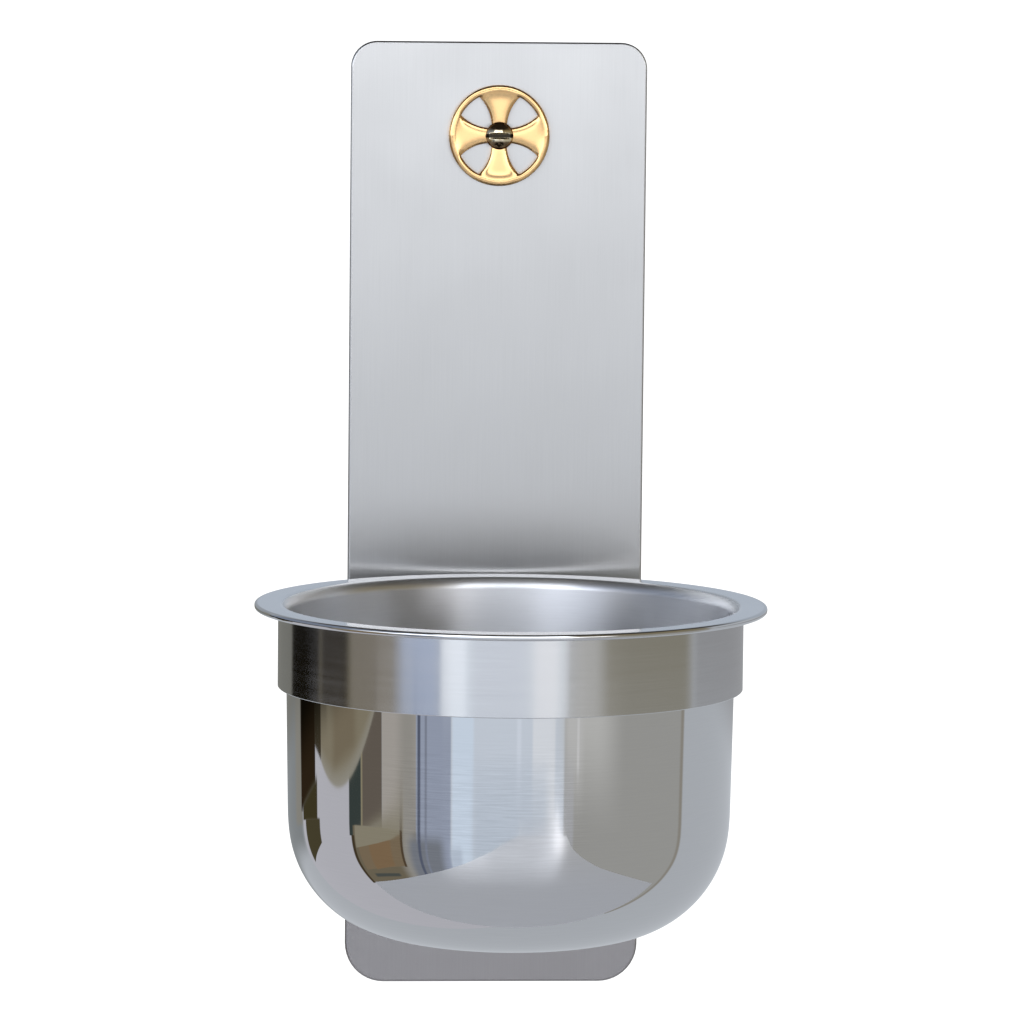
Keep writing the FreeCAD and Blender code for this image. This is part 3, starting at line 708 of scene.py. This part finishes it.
# Soft panels of the studio round the stoup. Bearing is measured from straight in front of
# the plate, positive to the right, and rise above the horizon, both in degrees. A slant tips
# the lower edge up to the right, and a bow lifts it towards both sides. A later panel covers
# an earlier one.
# name, bearing from, to, side softness, rise from, to, level softness, slant, bow, colour
PANELS = [
    # The left side: a pale wall, curtains, a dark doorway and a hanging cloth.
    ("left_wall", -180, -139, 4, -16, 14, 4, 0, 0, (0.28, 0.30, 0.31)),
    ("left_shade", -150, -139, 3, -10.6, 6, 0.6, 0, 0, (0.31, 0.30, 0.265)),
    ("light_gap", -139, -91, 1, -90, -8.2, 0.3, 0, 0, (0.60, 0.60, 0.65)),
    ("left_high", -139, -36, 4, -4, 40, 3, 0, 0, (0.24, 0.28, 0.36)),
    ("brown_curtain", -86, -72.6, 0.4, -10.62, -6, 0.05, 0, 0, (0.16, 0.135, 0.11)),
    ("green_curtain", -94.8, -86.2, 0.4, -12.0, -6, 0.1, 0, 0, (0.05, 0.065, 0.06)),
    ("curtain_edge", -86.4, -85.3, 0.3, -11.8, -6, 0.1, 0, 0, (0.33, 0.29, 0.19)),
    ("hanging", -120, -74, 0.5, -9.97, -6, 0.02, 0, 0.62, (0.37, 0.35, 0.29)),
    ("hanging_core", -120, -74, 0.5, -9.82, -6, 0.12, 0, 0.55, (0.29, 0.255, 0.18)),
    ("hanging_fold", -107, -90, 3, -9.7, -6, 0.1, 0, 0, (0.24, 0.20, 0.135)),
    ("doorway", -141, -123.8, 0.4, -9.6, -6, 0.06, 0, 0, (0.032, 0.02, 0.01)),
    ("doorway_middle", -138.5, -122, 0.5, -10.2, -9.55, 0.06, 0, 0, (0.06, 0.05, 0.022)),
    ("doorway_foot", -135.6, -119.7, 0.5, -18, -10.1, 0.15, 3.5, 0, (0.08, 0.068, 0.035)),
    ("doorway_side", -124.2, -118, 0.3, -9.33, -6, 0.02, -0.12, 0, (0.06, 0.05, 0.03)),
    # A low wall with a box before it, and a pale card beside them.
    ("low_wall", -92.3, -52, 0.6, -38, -10.62, 0.1, 0, 0, (0.20, 0.17, 0.115)),
    ("low_edge", -93.6, -91.6, 0.4, -38, -11.9, 0.1, 0, 0, (0.07, 0.05, 0.026)),
    ("cream_card", -72.6, -52.6, 0.4, -10.9, -8.4, 0.15, 0, 0, (0.49, 0.46, 0.42)),
    ("cream_side", -62, -52.4, 4, -38, -8.4, 0.3, 0, 0, (0.39, 0.375, 0.34)),
    ("box", -89.5, -61, 0.4, -27, -11, 0.2, 1.8, 0, (0.25, 0.19, 0.12)),
    ("box_front", -82, -68, 1, -27, -12, 0.5, 1.5, 0, (0.27, 0.18, 0.10)),
    ("box_top", -91, -60, 0.4, -13.5, -10.6, 0.15, 2.3, 0, (0.33, 0.30, 0.22)),
    ("box_edge", -62, -60.6, 0.3, -26, -10.8, 0.1, 0, 0, (0.10, 0.07, 0.04)),
    ("box_shadow", -86, -68, 1, -34, -31.5, 0.6, 0, 0, (0.09, 0.10, 0.09)),
    # What the ring mirrors on its left.
    ("band_end", -176, -141, 3, -8.5, -3, 0.4, 0, 0, (0.22, 0.22, 0.20)),
    ("band_dark", -141, -112, 2, -9.0, -3, 0.4, 0, 0, (0.005, 0.004, 0.002)),
    ("band_shade", -112, -90, 4, -9.0, -3, 0.4, 0, 0, (0.02, 0.015, 0.008)),
    ("band_brown", -88, -54, 2, -8.5, -3, 0.4, 0, 0, (0.26, 0.235, 0.20)),
    ("band_blue", -60, -38, 5, -8.5, -3, 0.4, 0, 0, (0.52, 0.61, 0.81)),
    # A window in its blue frame, and what the ring mirrors of it.
    ("blue_frame", -52.6, -33.6, 0.5, -45, -8.5, 0.4, 0, 0, (0.40, 0.45, 0.57)),
    ("frame_foot", -57, -38, 3, -45, -12, 1.5, 0, 0, (0.24, 0.26, 0.30)),
    ("frame_line", -51.8, -50.2, 0.4, -45, -8.5, 0.4, 0, 0, (0.12, 0.14, 0.20)),
    ("frame_rib", -47.8, -46.6, 0.4, -45, -8.5, 0.4, 0, 0, (0.27, 0.30, 0.38)),
    ("window", -33.6, 24.7, 0.8, -60, -5, 1.5, 0, 0, (0.76, 0.83, 0.93)),
    ("window_left", -33, -22, 1, -60, -6, 1, 0, 0, (0.80, 0.92, 1.07)),
    ("window_corner", -34, -28, 1.5, -60, -14, 3, 0, 0, (0.64, 0.73, 0.86)),
    ("window_bar", 0, 2.2, 0.7, -10.8, -6, 0.1, 0, 0, (0.84, 0.91, 1.02)),
    ("window_right", 8, 19.6, 0.8, -60, -6, 1, 0, 0, (0.92, 0.96, 1.02)),
    ("window_foot", -22, 16, 3, -20, -10.55, 0.15, 0, 0, (0.66, 0.74, 0.85)),
    ("window_middle", -38, 24.7, 1, -8.5, 20, 2, 0, 0, (0.95, 1.0, 1.08)),
    ("band_left", -37, -25, 2, -8.5, -3, 1, 0, 0, (1.20, 1.26, 1.36)),
    ("band_middle", -23, 5, 4, -8.5, -5, 1, 0, 0, (0.80, 0.85, 0.96)),
    ("band_right", 8, 20, 3, -8.5, -3, 1, 0, 0, (1.10, 1.12, 1.18)),
    ("band_back", 99, 175, 4, -8.3, -2, 0.5, 0, 0, (0.36, 0.365, 0.38)),
    # The light above, which the plate and the bowl's inside mirror.
    ("glow", -70, 44, 15, -2.2, 8, 3, 0, 0, (2.5, 2.57, 2.7)),
    ("glow_left", -54, -17, 5, 4, 16, 3, 0, 0, (2.9, 3.1, 3.5)),
    ("glow_right", 18, 46, 6, 2, 18, 3, 0, 0, (4.6, 4.6, 4.75)),
    ("transom", -16, 19, 4, 6, 14, 1.5, 0, 0, (0.45, 0.48, 0.54)),
    ("window_high", -40, 26, 2, 16, 40, 3, 0, 0, (2.1, 2.2, 2.35)),
    ("window_high_left", -33, -14, 3, 16, 38, 3, 0, 0, (2.7, 2.8, 3.0)),
    ("window_high_right", 12, 23, 2, 16, 38, 3, 0, 0, (2.7, 2.8, 3.0)),
    # The right side: a grey card, and what the ring and the bowl's inside mirror over it.
    ("grey_card", 24.7, 96.3, 1.2, -60, -8.3, 0.4, 0, 0, (0.425, 0.425, 0.405)),
    ("grey_near", 24.7, 50, 9, -10.4, -8.3, 0.6, 0, 0, (0.63, 0.63, 0.61)),
    ("card_edge", 24.9, 29.6, 0.8, -60, -10.3, 0.4, 0, 0, (0.50, 0.51, 0.53)),
    ("card_top", 24.9, 34, 2, -10.4, -8.3, 0.5, 0, 0, (0.66, 0.66, 0.65)),
    ("card_line", 31, 32.2, 0.4, -10.4, -8.3, 0.1, 0, 0, (0.76, 0.76, 0.76)),
    ("card_side", 95, 97.4, 0.9, -60, -8.3, 0.4, 0, 0, (0.34, 0.32, 0.28)),
    ("band_grey", 26.5, 45, 7, -8.3, 2, 0.4, 0, 0, (0.56, 0.56, 0.55)),
    ("band_warm", 42, 96, 5, -8.3, 6, 0.6, 0, 0, (0.28, 0.26, 0.20)),
    ("right_high", 24.7, 97, 3, 6, 40, 3, 0, 0, (0.26, 0.22, 0.14)),
    # Behind the plate.
    ("behind_left", -185, -150, 6, 1, 34, 4, 0, 0, (0.36, 0.39, 0.43)),
    ("behind_right", 140, 185, 8, 1, 34, 4, 0, 0, (0.44, 0.49, 0.56)),
]

# The room beyond the panels: its walls, its ceiling, and between which rises one turns into
# the other.
BACK_WALL, CEILING = (0.55, 0.58, 0.62, 1.0), (0.07, 0.065, 0.06, 1.0)
CEILING_RISES = (12.0, 38.0)

# The floor: its colour, the tint of the light on it, how far it blurs, and its corners, seen
# from above.
FLOOR_COLOUR, FLOOR_TINT = (0.80, 0.80, 0.83, 1.0), (0.88, 0.93, 1.0, 1.0)
FLOOR_ROUGHNESS, FLOOR_IOR = 0.24, 1.5
FLOOR_OUTLINE = [(-0.39, -0.12), (-0.36, -0.45), (-0.29, -0.97), (-0.18, -1.36), (0.05, -1.59),
                 (0.55, -1.56), (0.64, -1.41), (0.52, -0.89), (0.45, -0.54), (0.41, -0.12)]


def make_panel_mask(name):
    """1 inside a soft-edged panel of the surroundings, 0 outside."""
    labels = ("Bearing", "Rise", "Left", "Right", "Side Softness", "Low", "High",
              "Level Softness", "Slant", "Bow")
    tree, nodes, given, result = new_group(name, dict.fromkeys(labels, 0.0), ("Mask",))

    def edge(value, at, softness, rising):
        ends = nodes.math("SUBTRACT", at, softness), nodes.math("ADD", at, softness)
        return nodes.range(value, *ends, *((0.0, 1.0) if rising else (1.0, 0.0)))

    def both(first, second):
        return nodes.math("MULTIPLY", first, second)

    soft, level = given["Side Softness"], given["Level Softness"]
    middle = both(nodes.math("ADD", given["Left"], given["Right"]), 0.5)
    half = both(nodes.math("SUBTRACT", given["Right"], given["Left"]), 0.5)
    across = nodes.math("DIVIDE", nodes.math("SUBTRACT", given["Bearing"], middle), half)
    tip = nodes.math("ADD", given["Slant"], both(across, given["Bow"]))
    low = nodes.math("ADD", given["Low"], both(across, tip))
    sides = both(edge(given["Bearing"], given["Left"], soft, True),
                 edge(given["Bearing"], given["Right"], soft, False))
    levels = both(edge(given["Rise"], low, level, True),
                  edge(given["Rise"], given["High"], level, False))
    nodes.put(result["Mask"], both(sides, levels))
    return tree


def make_surroundings(context, studio):
    """Soft panels all round for the metal to reflect, and a white backdrop for the camera."""
    world = bpy.data.worlds.new("studio")
    context.scene.world = world
    world.use_nodes = True
    nodes = Nodes(world.node_tree)
    direction = nodes.add("ShaderNodeTexCoord").outputs["Generated"]
    x, y, z = nodes.split(nodes.vector("NORMALIZE", direction))
    bearing = nodes.math("DEGREES", nodes.math("ARCTAN2", x, nodes.math("MULTIPLY", y, -1.0)))
    rise = nodes.math("DEGREES", nodes.math("ARCSINE", z))
    colour = nodes.mix(nodes.range(rise, *CEILING_RISES), BACK_WALL, CEILING)
    for _, left, right, side, low, high, level, slant, bow, tint in PANELS:
        inside = nodes.group(make_panel_mask, bearing=bearing, rise=rise, left=left, right=right,
                             side_softness=side, low=low, high=high, level_softness=level,
                             slant=slant, bow=bow)[0]
        colour = nodes.mix(inside, colour, (*tint, 1.0))
    room = nodes.add("ShaderNodeBackground", {"Color": colour, "Strength": studio.light})
    white = nodes.add("ShaderNodeBackground", {"Color": (1, 1, 1, 1), "Strength": studio.backdrop})
    seen = nodes.add("ShaderNodeLightPath").outputs["Is Camera Ray"]
    both = nodes.add("ShaderNodeMixShader", {0: seen, 1: room.outputs[0], 2: white.outputs[0]})
    nodes.put(nodes.add("ShaderNodeOutputWorld").inputs["Surface"], both.outputs[0])


def make_floor(studio):
    """A pale floor in front of the wall, clear from below."""
    mesh = bpy.data.meshes.new("floor")
    mesh.from_pydata([(x, y, studio.floor_level) for x, y in FLOOR_OUTLINE], [],
                     [tuple(range(len(FLOOR_OUTLINE)))])
    floor = bpy.data.objects.new("floor", mesh)
    bpy.context.scene.collection.objects.link(floor)
    material = bpy.data.materials.new("pale_floor")
    material.use_nodes = True
    nodes = Nodes(material.node_tree)
    paint = nodes.add("ShaderNodeBsdfPrincipled", {
        "Base Color": FLOOR_COLOUR, "Roughness": FLOOR_ROUGHNESS, "IOR": FLOOR_IOR,
        "Emission Color": FLOOR_TINT, "Emission Strength": studio.floor_light})
    white = nodes.add("ShaderNodeEmission", {"Color": (1, 1, 1, 1), "Strength": studio.backdrop})
    seen = nodes.add("ShaderNodeLightPath").outputs["Is Camera Ray"]
    top = nodes.add("ShaderNodeMixShader", {0: seen, 1: paint.outputs[0], 2: white.outputs[0]})
    clear = nodes.add("ShaderNodeBsdfTransparent")
    below = nodes.add("ShaderNodeNewGeometry").outputs["Backfacing"]
    both = nodes.add("ShaderNodeMixShader", {0: below, 1: top.outputs[0], 2: clear.outputs[0]})
    nodes.put(nodes.add("ShaderNodeOutputMaterial").inputs["Surface"], both.outputs[0])
    mesh.materials.append(material)


def make_camera(context):
    yaw, pitch = CAMERA_YAW, CAMERA_PITCH
    forward = Vector((math.sin(yaw) * math.cos(pitch), math.cos(yaw) * math.cos(pitch),
                      math.sin(pitch)))
    right = Vector((math.cos(yaw), -math.sin(yaw), 0.0))
    turn = Matrix((right, right.cross(forward), -forward)).transposed()
    camera = bpy.data.objects.new("camera", bpy.data.cameras.new("camera"))
    camera.data.lens = CAMERA_LENS
    camera.data.sensor_width = CAMERA_SENSOR
    camera.data.clip_end = CAMERA_REACH
    roll = Matrix.Rotation(CAMERA_ROLL, 3, "Z")
    camera.matrix_world = Matrix.Translation(CAMERA_PLACE) @ (turn @ roll).to_4x4()
    context.scene.collection.objects.link(camera)
    context.scene.camera = camera


class STOUP_OT_studio(Operator):
    """Pale floor, soft surroundings and the camera"""
    bl_idname = "stoup.studio"
    bl_label = "Studio"

    def execute(self, context):
        studio = context.scene.stoup_studio
        make_surroundings(context, studio)
        make_floor(studio)
        make_camera(context)
        return {"FINISHED"}


# Panel and registration -------------------------------------------------------------------

OPERATORS = (STOUP_OT_back_plate, STOUP_OT_ring, STOUP_OT_ring_screws, STOUP_OT_bowl,
             STOUP_OT_emblem, STOUP_OT_emblem_screw, STOUP_OT_studio)


class STOUP_PT_sidebar(Panel):
    """Lists the stoup's pieces and its settings"""
    bl_idname = "STOUP_PT_sidebar"
    bl_label = "Holy Water Stoup"
    bl_space_type = "VIEW_3D"
    bl_region_type = "UI"
    bl_category = "Stoup"

    def draw(self, context):
        for operator in OPERATORS:
            self.layout.operator(operator.bl_idname)
        for settings in (context.scene.stoup_metal, context.scene.stoup_studio):
            box = self.layout.box()
            for name in settings.__annotations__:
                box.prop(settings, name)


CLASSES = (STOUP_PG_metal, STOUP_PG_studio, *OPERATORS, STOUP_PT_sidebar)


def register():
    for cls in CLASSES:
        bpy.utils.register_class(cls)
    bpy.types.Scene.stoup_metal = PointerProperty(type=STOUP_PG_metal)
    bpy.types.Scene.stoup_studio = PointerProperty(type=STOUP_PG_studio)


def unregister():
    del bpy.types.Scene.stoup_studio
    del bpy.types.Scene.stoup_metal
    for cls in reversed(CLASSES):
        bpy.utils.unregister_class(cls)


def main():
    register()
    bpy.context.scene.view_settings.view_transform = "Standard"
    for operator in OPERATORS:
        group, name = operator.bl_idname.split(".")
        getattr(getattr(bpy.ops, group), name)()


if __name__ == "__main__":
    main()
